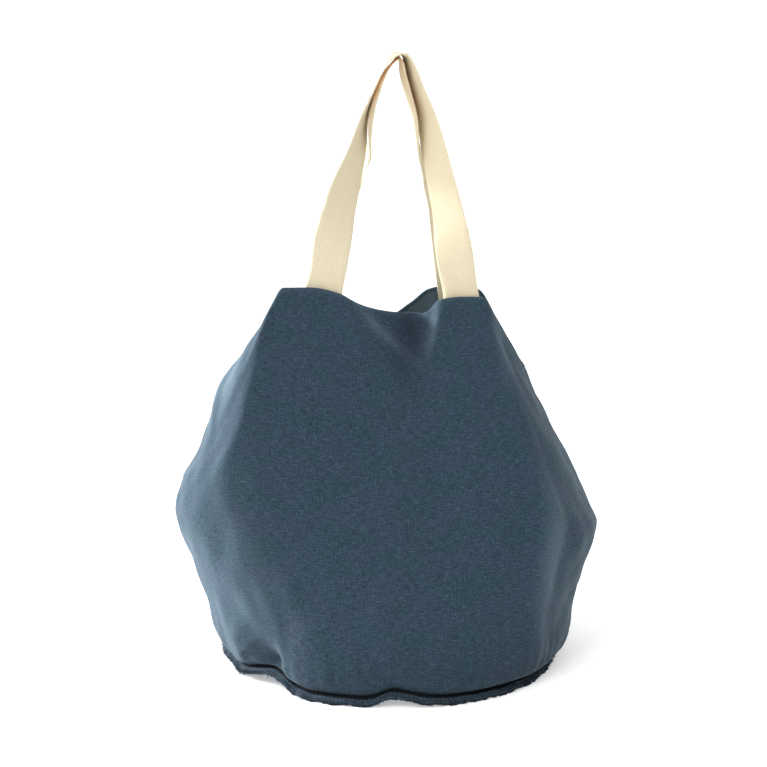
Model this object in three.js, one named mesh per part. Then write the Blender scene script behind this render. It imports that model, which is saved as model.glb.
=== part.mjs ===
// Round-bottomed cloth bag with two webbing handles, standing open on its base.
// Millimetres, +Z up, front towards -Y, origin on the floor under the middle of the base.
import * as THREE from 'three';

// Cloth body
const baseDiameter = 262; // round base, from seam to seam
const bellyWidth = 350; // widest part, side to side
const mouthWidth = 226; // between the feet of the two side notches
const mouthDepth = 56; // front rim to back rim, at the handles
const rimHeight = 305; // floor to the rim, at the handles
const frontSwell = 12; // how far the front and back can stand out over the base
const foldDepth = 10; // the deepest dent in the cloth
const foldFade = 0.02; // share of the height over which the folds die out at the seam
const clothWall = 1.2;
const hemWall = 2.6; // the mouth's turned hem, doubled cloth
const hemWidth = 20;
const hemEdge = 3; // height over which the wall thickens to the hem

// Seam round the base: the body's edge lies on the base's, and both stick out as a raw edge
const seamHeight = 5;
const seamWave = 5; // how far the seam lifts and sinks on its way round
const flangeWidth = 8;
const flangeDrop = 3;
const borderWidth = 14; // border of the base that climbs from the floor to the seam
const layerGap = 0.3; // between pieces that are sewn together

// Handles
const strapWidth = 30;
const strapWall = 1.8;
const rootSpread = 110; // between the middles of a handle's two ends
const strapRise = 190; // rim to the top of the arch
const sewnLength = 36; // the part of a strap that is sewn inside the rim
const sewnGap = 0.7; // between a strap and the hem that it is sewn to
const strapBlend = 34; // free length over which a strap leaves the slope of the wall

// Fineness of the faceted shapes and of the slopes that are measured on them
const columns = 72;
const strapSteps = 36;
const strapStrips = 4;
const turnStep = 0.5;
const shareStep = 0.004;

const cloth = new THREE.MeshStandardMaterial({ color: 0x415a6c, roughness: 0.9, metalness: 0 });
const webbing = new THREE.MeshStandardMaterial({ color: 0xefe3c2, roughness: 0.8, metalness: 0 });

// Level sections of the body. up: share of the way from the seam to the rim.
// left, right: swell of each side, as a share of the belly's; deep: of the front's swell.
// corner: how far the round plan has gone to the mouth's flattened one.
const bellyLevel = 0.46;
const sections = [
  { up: 0.0, left: 0.0, right: 0.0, deep: 0.0, corner: 0.0 },
  { up: 0.012, left: 0.12, right: 0.19, deep: 0.12, corner: 0.0 },
  { up: 0.04, left: 0.22, right: 0.29, deep: 0.3, corner: 0.0 },
  { up: 0.08, left: 0.31, right: 0.38, deep: 0.4, corner: 0.05 },
  { up: 0.15, left: 0.43, right: 0.465, deep: 0.35, corner: 0.16 },
  { up: 0.22, left: 0.58, right: 0.575, deep: 0.2, corner: 0.28 },
  { up: 0.3, left: 0.72, right: 0.71, deep: 0.05, corner: 0.4 },
  { up: 0.36, left: 0.84, right: 0.83, deep: 0.0, corner: 0.46 },
  { up: 0.41, left: 0.95, right: 0.92, deep: -0.05, corner: 0.5 },
  { up: 0.46, left: 1.02, right: 0.96, deep: -0.1, corner: 0.54 },
  { up: 0.5, left: 1.01, right: 0.9, deep: -0.12, corner: 0.58 },
  { up: 0.56, left: 0.94, right: 0.8, deep: -0.15, corner: 0.63 },
  { up: 0.62, left: 0.82, right: 0.71, deep: -0.16, corner: 0.68 },
  { up: 0.7, left: 0.67, right: 0.57, deep: -0.16, corner: 0.74 },
  { up: 0.78, left: 0.56, right: 0.41, deep: -0.14, corner: 0.8 },
  { up: 0.86, left: 0.43, right: 0.26, deep: -0.1, corner: 0.86 },
  { up: 0.93, left: 0.27, right: 0.1, deep: -0.05, corner: 0.91 },
  { up: 1.0, left: 0.03, right: 0.0, deep: 0.0, corner: 0.95 },
];

// The mouth's plan: a straight front and back that bend round to side tips at 0 and 180 degrees.
// The bends start at corners 45 degrees to each side of the tips.
const cornerTurn = 45;
const leftCorner = 0.735; // a corner's place, as a share of the half-width
const rightCorner = 0.665;

// Height of the rim on its way round from the right tip, as a share of rimHeight.
const rim = [
  { turn: 0, height: 0.78 },
  { turn: 11, height: 0.796 },
  { turn: 22, height: 0.84 },
  { turn: 34, height: 0.91 },
  { turn: 45, height: 0.985 },
  { turn: 58, height: 1.0 },
  { turn: 70, height: 0.987 },
  { turn: 79, height: 0.951 },
  { turn: 92, height: 0.914 },
  { turn: 101, height: 0.924 },
  { turn: 111, height: 0.96 },
  { turn: 127, height: 0.982 },
  { turn: 135, height: 0.978 },
  { turn: 146, height: 0.93 },
  { turn: 158, height: 0.885 },
  { turn: 169, height: 0.848 },
  { turn: 180, height: 0.835 },
  { turn: 191, height: 0.849 },
  { turn: 202, height: 0.889 },
  { turn: 214, height: 0.953 },
  { turn: 225, height: 1.02 },
  { turn: 237, height: 1.02 },
  { turn: 249, height: 1.005 },
  { turn: 257, height: 0.98 },
  { turn: 266, height: 0.961 },
  { turn: 277, height: 0.949 },
  { turn: 286, height: 0.946 },
  { turn: 290, height: 0.96 },
  { turn: 294, height: 0.987 },
  { turn: 305, height: 0.995 },
  { turn: 315, height: 0.995 },
  { turn: 326, height: 0.92 },
  { turn: 338, height: 0.845 },
  { turn: 349, height: 0.797 },
  { turn: 360, height: 0.78 },
];

// Lift of the seam on its way round, and how far it stands out of its circle, as shares of seamWave.
const seam = [
  { turn: 0, lift: -0.2, out: 0.3 },
  { turn: 24, lift: 0.15, out: 0.0 },
  { turn: 40, lift: -0.2, out: 0.1 },
  { turn: 63, lift: 0.5, out: -0.1 },
  { turn: 80, lift: -0.15, out: 0.2 },
  { turn: 104, lift: 0.1, out: 0.1 },
  { turn: 120, lift: 0.9, out: -0.4 },
  { turn: 136, lift: 0.0, out: 0.1 },
  { turn: 160, lift: -0.2, out: 0.2 },
  { turn: 180, lift: 0.1, out: 0.0 },
  { turn: 203, lift: 0.6, out: -0.4 },
  { turn: 210, lift: 0.4, out: -0.1 },
  { turn: 219, lift: 1.4, out: -0.7 },
  { turn: 226, lift: 1.8, out: -1.0 },
  { turn: 231, lift: 1.3, out: -0.6 },
  { turn: 237, lift: 0.3, out: -0.2 },
  { turn: 244, lift: -0.1, out: 0.3 },
  { turn: 258, lift: -0.25, out: 0.2 },
  { turn: 265, lift: 0.1, out: 0.1 },
  { turn: 272, lift: 1.1, out: -0.2 },
  { turn: 278, lift: 0.6, out: 0.2 },
  { turn: 286, lift: 0.0, out: 0.8 },
  { turn: 310, lift: -0.2, out: 1.1 },
  { turn: 328, lift: -0.25, out: 0.8 },
  { turn: 342, lift: -0.25, out: 0.3 },
  { turn: 360, lift: -0.2, out: 0.3 },
];

// Dents (negative) and ridges of the cloth. turn, up: the middle; lean: degrees that the fold
// moves round for the whole height; wide, tall: half-spreads; depth: share of foldDepth.
const folds = [
  { name: 'front mouth dent', turn: 283, up: 1.0, lean: 45, wide: 11, tall: 0.14, depth: -0.95 },
  { name: 'right root ridge', turn: 292, up: 0.95, lean: 60, wide: 5, tall: 0.08, depth: 0.3 },
  { name: 'left root ridge', turn: 259, up: 0.93, lean: -110, wide: 8, tall: 0.12, depth: 0.3 },
  { name: 'chest hollow', turn: 272, up: 0.7, lean: 0, wide: 22, tall: 0.14, depth: -0.3 },
  { name: 'right front ridge', turn: 319, up: 0.32, lean: 6, wide: 6, tall: 0.3, depth: 0.4 },
  { name: 'left front ridge', turn: 226, up: 0.3, lean: -6, wide: 9, tall: 0.3, depth: 0.25 },
  { name: 'left shoulder ridge', turn: 195, up: 0.84, lean: -30, wide: 5, tall: 0.14, depth: 0.35 },
  { name: 'left waist tuck', turn: 186, up: 0.65, lean: 0, wide: 9, tall: 0.035, depth: -0.2 },
  { name: 'lower left puff', turn: 217, up: 0.09, lean: 0, wide: 6, tall: 0.07, depth: 0.7 },
  { name: 'lower left tuck', turn: 230, up: 0.04, lean: 0, wide: 4, tall: 0.06, depth: -0.6 },
  { name: 'lower right crease', turn: 345, up: 0.22, lean: 0, wide: 9, tall: 0.03, depth: -0.25 },
  { name: 'back mouth dent', turn: 92, up: 1.0, lean: -30, wide: 12, tall: 0.15, depth: -0.8 },
  { name: 'back chest hollow', turn: 98, up: 0.66, lean: 20, wide: 22, tall: 0.16, depth: -0.35 },
  { name: 'back left ridge', turn: 128, up: 0.36, lean: -10, wide: 7, tall: 0.26, depth: 0.4 },
  { name: 'back right ridge', turn: 52, up: 0.3, lean: 8, wide: 7, tall: 0.28, depth: 0.35 },
  { name: 'back hip crease', turn: 74, up: 0.42, lean: 60, wide: 10, tall: 0.05, depth: -0.3 },
];

// Middle line of a handle from its left end to its right one. along: share of its free length.
// across: share of half of rootSpread; up: share of strapRise over the rim; back: share of half
// of mouthDepth, towards the rear; turn: degrees that the strap is twisted round the upright.
const frontArch = [
  { along: 0.0, across: -0.93, up: 0.025, back: -0.86, turn: 0 },
  { along: 0.087, across: -0.815, up: 0.202, back: -0.72, turn: 8 },
  { along: 0.153, across: -0.72, up: 0.336, back: -0.64, turn: 29 },
  { along: 0.219, across: -0.595, up: 0.47, back: -0.56, turn: 42 },
  { along: 0.286, across: -0.445, up: 0.603, back: -0.49, turn: 61 },
  { along: 0.351, across: -0.344, up: 0.735, back: -0.42, turn: 78 },
  { along: 0.418, across: -0.177, up: 0.868, back: -0.34, turn: 88 },
  { along: 0.452, across: -0.065, up: 0.937, back: -0.29, turn: 90 },
  { along: 0.481, across: 0.05, up: 0.985, back: -0.25, turn: 93 },
  { along: 0.497, across: 0.16, up: 1.0, back: -0.23, turn: 97 },
  { along: 0.511, across: 0.245, up: 0.985, back: -0.25, turn: 103 },
  { along: 0.538, across: 0.305, up: 0.937, back: -0.29, turn: 110 },
  { along: 0.571, across: 0.385, up: 0.868, back: -0.34, turn: 115 },
  { along: 0.637, across: 0.555, up: 0.735, back: -0.42, turn: 121 },
  { along: 0.702, across: 0.66, up: 0.603, back: -0.49, turn: 131 },
  { along: 0.767, across: 0.765, up: 0.47, back: -0.56, turn: 138 },
  { along: 0.833, across: 0.87, up: 0.336, back: -0.64, turn: 145 },
  { along: 0.898, across: 0.945, up: 0.202, back: -0.72, turn: 164 },
  { along: 1.0, across: 1.055, up: -0.01, back: -0.86, turn: 180 },
];
const backArch = [
  { along: 0.0, across: -0.965, up: 0.0, back: 0.86, turn: 180 },
  { along: 0.087, across: -0.835, up: 0.2, back: 0.71, turn: 166 },
  { along: 0.153, across: -0.727, up: 0.336, back: 0.57, turn: 148 },
  { along: 0.219, across: -0.49, up: 0.47, back: 0.64, turn: 118 },
  { along: 0.286, across: -0.262, up: 0.6, back: 0.3, turn: 95 },
  { along: 0.351, across: -0.23, up: 0.733, back: -0.1, turn: 84 },
  { along: 0.418, across: -0.105, up: 0.865, back: -0.14, turn: 83 },
  { along: 0.452, across: -0.01, up: 0.925, back: -0.16, turn: 85 },
  { along: 0.481, across: 0.1, up: 0.962, back: -0.18, turn: 88 },
  { along: 0.497, across: 0.155, up: 0.974, back: -0.18, turn: 91 },
  { along: 0.511, across: 0.185, up: 0.96, back: -0.18, turn: 95 },
  { along: 0.538, across: 0.21, up: 0.92, back: -0.16, turn: 99 },
  { along: 0.571, across: 0.258, up: 0.865, back: -0.14, turn: 100 },
  { along: 0.637, across: 0.387, up: 0.733, back: -0.1, turn: 96 },
  { along: 0.702, across: 0.445, up: 0.6, back: 0.14, turn: 87 },
  { along: 0.767, across: 0.625, up: 0.47, back: 0.48, turn: 61 },
  { along: 0.833, across: 0.825, up: 0.336, back: 0.57, turn: 32 },
  { along: 0.898, across: 0.916, up: 0.2, back: 0.71, turn: 14 },
  { along: 1.0, across: 1.0, up: -0.01, back: 0.86, turn: 0 },
];

const baseRadius = baseDiameter / 2;
const mix = THREE.MathUtils.lerp;
const toRadians = THREE.MathUtils.degToRad;

// One column of a table at any place: a smooth curve through its rows.
function read(table, place, value, at) {
  const last = table.length - 2;
  let row = 0;
  while (row < last && table[row + 1][place] < at) row += 1;
  const slope = (one, two) => (two[value] - one[value]) / (two[place] - one[place]);
  const from = table[row];
  const to = table[row + 1];
  const span = to[place] - from[place];
  const middle = slope(from, to);
  const before = row > 0 ? slope(table[row - 1], from) : middle;
  const after = row < last ? slope(to, table[row + 2]) : middle;
  const ease = (one, two) => (one * two > 0 ? (2 * one * two) / (one + two) : 0);
  const start = row > 0 ? ease(before, middle) : middle;
  const end = row < last ? ease(middle, after) : middle;
  const s = (at - from[place]) / span;
  if (s < 0) return from[value] + start * span * s;
  if (s > 1) return to[value] + end * span * (s - 1);
  const bend = s * (1 - s);
  return mix(from[value], to[value], s * s * (3 - 2 * s)) + span * bend * (start * (1 - s) - end * s);
}

function wrap(turn) {
  return ((turn % 360) + 360) % 360;
}

// Height of the line on which the body's raw edge meets the base's.
function seamLine(turn) {
  const lowest = clothWall + layerGap / 2;
  return Math.max(seamHeight + seamWave * read(seam, 'turn', 'lift', wrap(turn)), lowest + flangeDrop);
}

function seamRadius(turn) {
  return baseRadius + seamWave * read(seam, 'turn', 'out', wrap(turn));
}

// A point of the plan whose half-width and half-depth are both 1.
function planPoint(turn, corner) {
  const angle = toRadians(turn);
  const fromTip = Math.min(wrap(turn), wrap(-turn));
  const nearTip = fromTip < 90 ? fromTip : 180 - fromTip;
  const bend = (Math.min(nearTip / cornerTurn, 1) * Math.PI) / 2;
  const inwards = Math.max((nearTip - cornerTurn) / cornerTurn, 0);
  const side = Math.sign(Math.cos(angle));
  const cornerPlace = side < 0 ? leftCorner : rightCorner;
  const x = side * (inwards > 0 ? cornerPlace * (1 - inwards) : mix(cornerPlace, 1, Math.cos(bend)));
  const y = Math.sign(Math.sin(angle)) * Math.sin(bend);
  return [mix(Math.cos(angle), x, corner), mix(Math.sin(angle), y, corner)];
}

// Outer face of the cloth before its folds. up runs from 0 at the seam to 1 at the rim.
function smoothPoint(turn, up) {
  const [x, y] = planPoint(turn, read(sections, 'up', 'corner', up));
  const swell = bellyWidth / 2 - mix(baseRadius, mouthWidth / 2, bellyLevel);
  const side = read(sections, 'up', x < 0 ? 'left' : 'right', up);
  const halfWidth = mix(baseRadius, mouthWidth / 2, up) + swell * side;
  const halfDepth = mix(baseRadius, mouthDepth / 2, up) + frontSwell * read(sections, 'up', 'deep', up);
  const foot = seamLine(turn) + layerGap / 2 + clothWall;
  const top = rimHeight * read(rim, 'turn', 'height', wrap(turn));
  const spread = 1 + (seamRadius(turn) / baseRadius - 1) * (1 - up) ** 3;
  return new THREE.Vector3(halfWidth * x * spread, halfDepth * y * spread, mix(foot, top, up));
}

function foldOffset(turn, up) {
  let offset = 0;
  for (const fold of folds) {
    const middle = fold.turn + fold.lean * (up - fold.up);
    const round = (wrap(turn - middle + 180) - 180) / fold.wide;
    const high = (up - fold.up) / fold.tall;
    offset += foldDepth * fold.depth * Math.exp(-round * round - high * high);
  }
  return offset * Math.min(up / foldFade, 1);
}

// Outer face of the cloth with its folds.
function clothPoint(turn, up) {
  const point = smoothPoint(turn, up);
  const along = smoothPoint(turn + turnStep, up).sub(smoothPoint(turn - turnStep, up));
  const outward = new THREE.Vector3(along.y, -along.x, 0).normalize();
  return point.addScaledVector(outward, foldOffset(turn, up));
}

// Direction out of the cloth.
function clothNormal(turn, up) {
  const round = clothPoint(turn + turnStep, up).sub(clothPoint(turn - turnStep, up));
  const rise = clothPoint(turn, up + shareStep).sub(clothPoint(turn, up - shareStep));
  return round.cross(rise).normalize();
}

// Share of the height that lies a given length below the rim.
function upBelowRim(turn, length) {
  const measured = 0.1;
  const column = clothPoint(turn, 1).sub(clothPoint(turn, 1 - measured)).length() / measured;
  return 1 - length / column;
}

// A closed mesh from rings of points. The rings close on themselves, and the last joins the first.
function ringMesh(rings) {
  const count = rings[0].length;
  const positions = rings.flatMap((ring) => ring.flatMap((point) => [point.x, point.y, point.z]));
  const indices = [];
  rings.forEach((ring, level) => {
    const above = (level + 1) % rings.length;
    for (let i = 0; i < count; i += 1) {
      const next = (i + 1) % count;
      const [a, b] = [level * count + i, level * count + next];
      const [c, d] = [above * count + next, above * count + i];
      indices.push(a, b, c, a, c, d);
    }
  });
  return indexedMesh(positions, indices);
}

function indexedMesh(positions, indices) {
  const geometry = new THREE.BufferGeometry();
  geometry.setAttribute('position', new THREE.Float32BufferAttribute(positions, 3));
  geometry.setIndex(indices);
  geometry.computeVertexNormals();
  return geometry;
}

const turns = Array.from({ length: columns }, (_, column) => (360 * column) / columns);

// A ring at one distance outside the seam, some height over or under the seam line.
function edgeRing(outside, over) {
  return turns.map((turn) => {
    const angle = toRadians(turn);
    const radius = seamRadius(turn) + outside;
    const fall = (flangeDrop * Math.max(outside, 0)) / flangeWidth;
    const height = seamLine(turn) - fall + over;
    return new THREE.Vector3(radius * Math.cos(angle), radius * Math.sin(angle), height);
  });
}

function bodyGeometry() {
  const under = layerGap / 2;
  const over = under + clothWall;
  const hemShare = 0.9;
  const levels = sections.map((section) => section.up).filter((up) => up < hemShare);
  const hemLevels = [hemWidth + hemEdge, hemWidth, hemWidth / 2, 0];
  const wallPoint = (turn, up, wall) =>
    clothPoint(turn, up).addScaledVector(clothNormal(turn, up), -wall);
  const outerRing = (level) => turns.map((turn) => clothPoint(turn, level(turn)));
  const innerRing = (level, wall) => turns.map((turn) => wallPoint(turn, level(turn), wall));
  const lower = levels.map((up) => () => up);
  const upper = hemLevels.map((length) => (turn) => upBelowRim(turn, length));
  const crown = new THREE.Vector3(0, 0, hemWall / 3);
  const topRing = turns.map((turn) => wallPoint(turn, 1, hemWall / 2).add(crown));
  const footRing = edgeRing(-clothWall, over + clothWall);
  const outside = [...lower, ...upper].map(outerRing);
  const inside = [
    ...lower.slice(1).map((level) => innerRing(level, clothWall)),
    ...upper.map((level, i) => innerRing(level, i === 0 ? clothWall : hemWall)),
  ];
  const flangeTop = [flangeWidth, flangeWidth / 2].map((out) => edgeRing(out, over));
  const flangeUnder = [-clothWall, flangeWidth / 2, flangeWidth].map((out) => edgeRing(out, under));
  return ringMesh([
    ...flangeTop,
    ...outside,
    topRing,
    ...inside.reverse(),
    footRing,
    ...flangeUnder,
  ]);
}

function baseGeometry() {
  const flatRing = (radius, height) =>
    turns.map((turn) => {
      const angle = toRadians(turn);
      return new THREE.Vector3(radius * Math.cos(angle), radius * Math.sin(angle), height);
    });
  const face = (wall) => {
    const height = wall - clothWall - layerGap / 2;
    const floorEdge = flatRing(baseRadius - borderWidth, wall);
    const seamEdge = edgeRing(-clothWall, height);
    const border = floorEdge.map((point, i) => {
      const middle = point.clone().lerp(seamEdge[i], 0.5);
      return middle.setZ(mix(wall, seamEdge[i].z, 0.3));
    });
    const flange = [flangeWidth / 2, flangeWidth].map((out) => edgeRing(out, height));
    return [flatRing(baseRadius / 2, wall), floorEdge, border, seamEdge, ...flange];
  };
  return discMesh([...face(0), ...face(clothWall).reverse()], clothWall);
}

// A closed mesh from rings that start under the middle and end over it.
function discMesh(rings, height) {
  const count = rings[0].length;
  const positions = rings.flatMap((ring) => ring.flatMap((point) => [point.x, point.y, point.z]));
  const indices = [];
  for (let level = 0; level < rings.length - 1; level += 1) {
    for (let i = 0; i < count; i += 1) {
      const next = (i + 1) % count;
      const [a, b] = [level * count + i, level * count + next];
      const [c, d] = [b + count, a + count];
      indices.push(a, b, c, a, c, d);
    }
  }
  const bottom = positions.length / 3;
  const last = (rings.length - 1) * count;
  positions.push(0, 0, 0, 0, 0, height);
  for (let i = 0; i < count; i += 1) {
    const next = (i + 1) % count;
    indices.push(bottom, next, i, bottom + 1, last + i, last + next);
  }
  return indexedMesh(positions, indices);
}

// One row of points across a handle where it is sewn inside its wall. side: -1 front, 1 back.
function sewnRow(side, across, below, reach) {
  const cornerAcross = ((across < 0 ? leftCorner : rightCorner) * mouthWidth) / 2;
  const perDegree = cornerAcross / cornerTurn;
  const frontTurn = 270;
  const middle = frontTurn + across / perDegree;
  return reach.map((offset) => {
    const turn = -side * (middle + offset / perDegree);
    const up = upBelowRim(turn, below);
    const inset = hemWall + sewnGap + strapWall / 2;
    return clothPoint(turn, up).addScaledVector(clothNormal(turn, up), -inset);
  });
}

// One row of points across a handle on its free length, s from 0 to 1.
function freeRow(arch, s, reach) {
  const at = (place) =>
    new THREE.Vector3(
      (read(arch, 'along', 'across', place) * rootSpread) / 2,
      (read(arch, 'along', 'back', place) * mouthDepth) / 2,
      rimHeight + strapRise * read(arch, 'along', 'up', place),
    );
  const tangent = at(s + shareStep).sub(at(s - shareStep)).normalize();
  const turn = toRadians(read(arch, 'along', 'turn', s));
  const width = new THREE.Vector3(Math.cos(turn), Math.sin(turn), 0);
  width.addScaledVector(tangent, -width.dot(tangent)).normalize();
  return reach.map((offset) => at(s).addScaledVector(width, offset));
}

// Middle surface of a handle, as rows of points across it. side: -1 front, 1 back.
function handleRows(arch, side) {
  const shares = Array.from({ length: strapStrips + 1 }, (_, strip) => strip / strapStrips - 0.5);
  const reach = shares.map((share) => share * strapWidth);
  const freeLength = 2 * Math.hypot(strapRise, rootSpread / 2);
  const blend = strapBlend / freeLength;
  const sewnDepths = [1, 2 / 3, 1 / 3].map((share) => share * sewnLength);
  const leftRoot = (arch[0].across * rootSpread) / 2;
  const rightRoot = (arch[arch.length - 1].across * rootSpread) / 2;
  const leftReach = reach.map((offset) => -side * offset);
  const rightReach = reach.map((offset) => side * offset);
  const rows = sewnDepths.map((below) => sewnRow(side, leftRoot, below, leftReach));
  for (let step = 0; step <= strapSteps; step += 1) {
    const s = step / strapSteps;
    const free = freeRow(arch, s, reach);
    const near = Math.min(s, 1 - s);
    const hold = 1 - THREE.MathUtils.smoothstep(near, 0, blend);
    const [root, rootReach] = s < 0.5 ? [leftRoot, leftReach] : [rightRoot, rightReach];
    const wall = sewnRow(side, root, -near * freeLength, rootReach);
    rows.push(hold > 0 ? free.map((point, i) => point.lerp(wall[i], hold)) : free);
  }
  sewnDepths.reverse().forEach((below) => rows.push(sewnRow(side, rightRoot, below, rightReach)));
  return rows;
}

// Gives rows of points across a strap its wall, and closes it.
function strapGeometry(rows) {
  const sides = rows.map((row, i) => {
    const before = rows[Math.max(i - 1, 0)];
    const after = rows[Math.min(i + 1, rows.length - 1)];
    return row.map((point, j) => {
      const along = after[j].clone().sub(before[j]);
      const across = row[Math.min(j + 1, row.length - 1)].clone().sub(row[Math.max(j - 1, 0)]);
      const normal = along.cross(across).normalize();
      return [1, -1].map((side) => point.clone().addScaledVector(normal, (side * strapWall) / 2));
    });
  });
  const loops = sides.map((row) => [
    ...row.map((pair) => pair[0]),
    ...row.map((pair) => pair[1]).reverse(),
  ]);
  return tubeMesh(loops);
}

// A closed mesh from loops of points, with the first and the last loop filled by strips.
function tubeMesh(loops) {
  const count = loops[0].length;
  const positions = loops.flatMap((loop) => loop.flatMap((point) => [point.x, point.y, point.z]));
  const indices = [];
  for (let level = 0; level < loops.length - 1; level += 1) {
    for (let i = 0; i < count; i += 1) {
      const next = (i + 1) % count;
      const [a, b] = [level * count + i, level * count + next];
      const [c, d] = [b + count, a + count];
      indices.push(a, c, b, a, d, c);
    }
  }
  const last = (loops.length - 1) * count;
  for (let i = 0; i < count / 2 - 1; i += 1) {
    const [a, b, c, d] = [i, i + 1, count - 2 - i, count - 1 - i];
    indices.push(a, b, c, a, c, d);
    indices.push(last + a, last + c, last + b, last + a, last + d, last + c);
  }
  return indexedMesh(positions, indices);
}

function part(name, geometry, material) {
  const mesh = new THREE.Mesh(geometry, material);
  mesh.name = name;
  return mesh;
}

const bag = new THREE.Group();
bag.add(part('body', bodyGeometry(), cloth));
bag.add(part('base', baseGeometry(), cloth));
bag.add(part('handle_front', strapGeometry(handleRows(frontArch, -1)), webbing));
bag.add(part('handle_back', strapGeometry(handleRows(backArch, 1)), webbing));

export default bag;
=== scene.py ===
# Round-bottomed denim bag with two webbing handles, standing on a pale studio floor.
# Metres, +Z up, front towards -Y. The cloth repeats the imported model's shape with finer folds.
import math

import bpy
import numpy as np
from mathutils import Matrix, Vector


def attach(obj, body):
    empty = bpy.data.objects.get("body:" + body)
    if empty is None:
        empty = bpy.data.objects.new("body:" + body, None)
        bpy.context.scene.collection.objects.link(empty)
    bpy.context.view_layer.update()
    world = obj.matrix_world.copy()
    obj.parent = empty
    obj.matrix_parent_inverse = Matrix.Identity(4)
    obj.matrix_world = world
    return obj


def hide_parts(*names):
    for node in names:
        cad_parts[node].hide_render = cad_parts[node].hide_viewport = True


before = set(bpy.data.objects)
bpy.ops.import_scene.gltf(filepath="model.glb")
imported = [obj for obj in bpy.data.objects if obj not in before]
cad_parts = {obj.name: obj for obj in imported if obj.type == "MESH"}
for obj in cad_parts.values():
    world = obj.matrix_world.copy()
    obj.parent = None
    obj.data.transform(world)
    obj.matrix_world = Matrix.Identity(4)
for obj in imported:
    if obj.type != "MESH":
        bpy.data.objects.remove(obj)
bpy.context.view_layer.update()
bpy.ops.object.select_all(action="DESELECT")
print("frame loaded")

# Shape of the bag

bag = {
    "baseDiameter": 0.262,
    "bellyWidth": 0.350,
    "mouthWidth": 0.226,  # between the feet of the two side notches
    "mouthDepth": 0.056,
    "rimHeight": 0.305,
    "frontSwell": 0.012,
    "foldDepth": 0.010,
    "foldFade": 0.02,
    "bellyLevel": 0.46,
    "clothWall": 0.0012,
    "hemWall": 0.0026,
    "hemWidth": 0.020,
    "seamHeight": 0.005,
    "seamWave": 0.005,
    "flangeWidth": 0.008,
    "flangeDrop": 0.003,
    "layerGap": 0.0003,
    "borderWidth": 0.014,  # border of the base that climbs from the floor to the seam
    "cornerTurn": 45,
    "leftCorner": 0.735,
    "rightCorner": 0.665,
}

# Level sections: up, then the swell of the left, the right and the front, and the plan's corners
sections = {
    "columns": ("up", "left", "right", "deep", "corner"),
    "rows": [
        (0.0, 0.0, 0.0, 0.0, 0.0),
        (0.012, 0.12, 0.19, 0.12, 0.0),
        (0.04, 0.22, 0.29, 0.3, 0.0),
        (0.08, 0.31, 0.38, 0.4, 0.05),
        (0.15, 0.43, 0.465, 0.35, 0.16),
        (0.22, 0.58, 0.575, 0.2, 0.28),
        (0.3, 0.72, 0.71, 0.05, 0.4),
        (0.36, 0.84, 0.83, 0.0, 0.46),
        (0.41, 0.95, 0.92, -0.05, 0.5),
        (0.46, 1.02, 0.96, -0.1, 0.54),
        (0.5, 1.01, 0.9, -0.12, 0.58),
        (0.56, 0.94, 0.8, -0.15, 0.63),
        (0.62, 0.82, 0.71, -0.16, 0.68),
        (0.7, 0.67, 0.57, -0.16, 0.74),
        (0.78, 0.56, 0.41, -0.14, 0.8),
        (0.86, 0.43, 0.26, -0.1, 0.86),
        (0.93, 0.27, 0.1, -0.05, 0.91),
        (1.0, 0.03, 0.0, 0.0, 0.95),
    ],
}

# Height of the rim round the mouth, as a share of rimHeight
rim = {
    "columns": ("turn", "height"),
    "rows": [
        (0, 0.78), (11, 0.796), (22, 0.84), (34, 0.91), (45, 0.985), (58, 1.0), (70, 0.987),
        (79, 0.951), (92, 0.914), (101, 0.924), (111, 0.96), (127, 0.982), (135, 0.978),
        (146, 0.93), (158, 0.885), (169, 0.848), (180, 0.835), (191, 0.849), (202, 0.889),
        (214, 0.953), (225, 1.02), (237, 1.02), (249, 1.005), (257, 0.98), (266, 0.961),
        (277, 0.949), (286, 0.946), (290, 0.96), (294, 0.987), (305, 0.995), (315, 0.995),
        (326, 0.92), (338, 0.845), (349, 0.797), (360, 0.78),
    ],
}

# Lift of the seam round the base and how far it stands out, as shares of seamWave
seam = {
    "columns": ("turn", "lift", "out"),
    "rows": [
        (0, -0.2, 0.3), (24, 0.15, 0.0), (40, -0.2, 0.1), (63, 0.5, -0.1), (80, -0.15, 0.2),
        (104, 0.1, 0.1), (120, 0.9, -0.4), (136, 0.0, 0.1), (160, -0.2, 0.2), (180, 0.1, 0.0),
        (203, 0.6, -0.4), (210, 0.4, -0.1), (219, 1.4, -0.7), (226, 1.8, -1.0), (231, 1.3, -0.6),
        (237, 0.3, -0.2), (244, -0.1, 0.3), (258, -0.25, 0.2), (265, 0.1, 0.1), (272, 1.1, -0.2),
        (278, 0.6, 0.2), (286, 0.0, 0.8), (310, -0.2, 1.1), (328, -0.25, 0.8), (342, -0.25, 0.3),
        (360, -0.2, 0.3),
    ],
}

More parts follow.
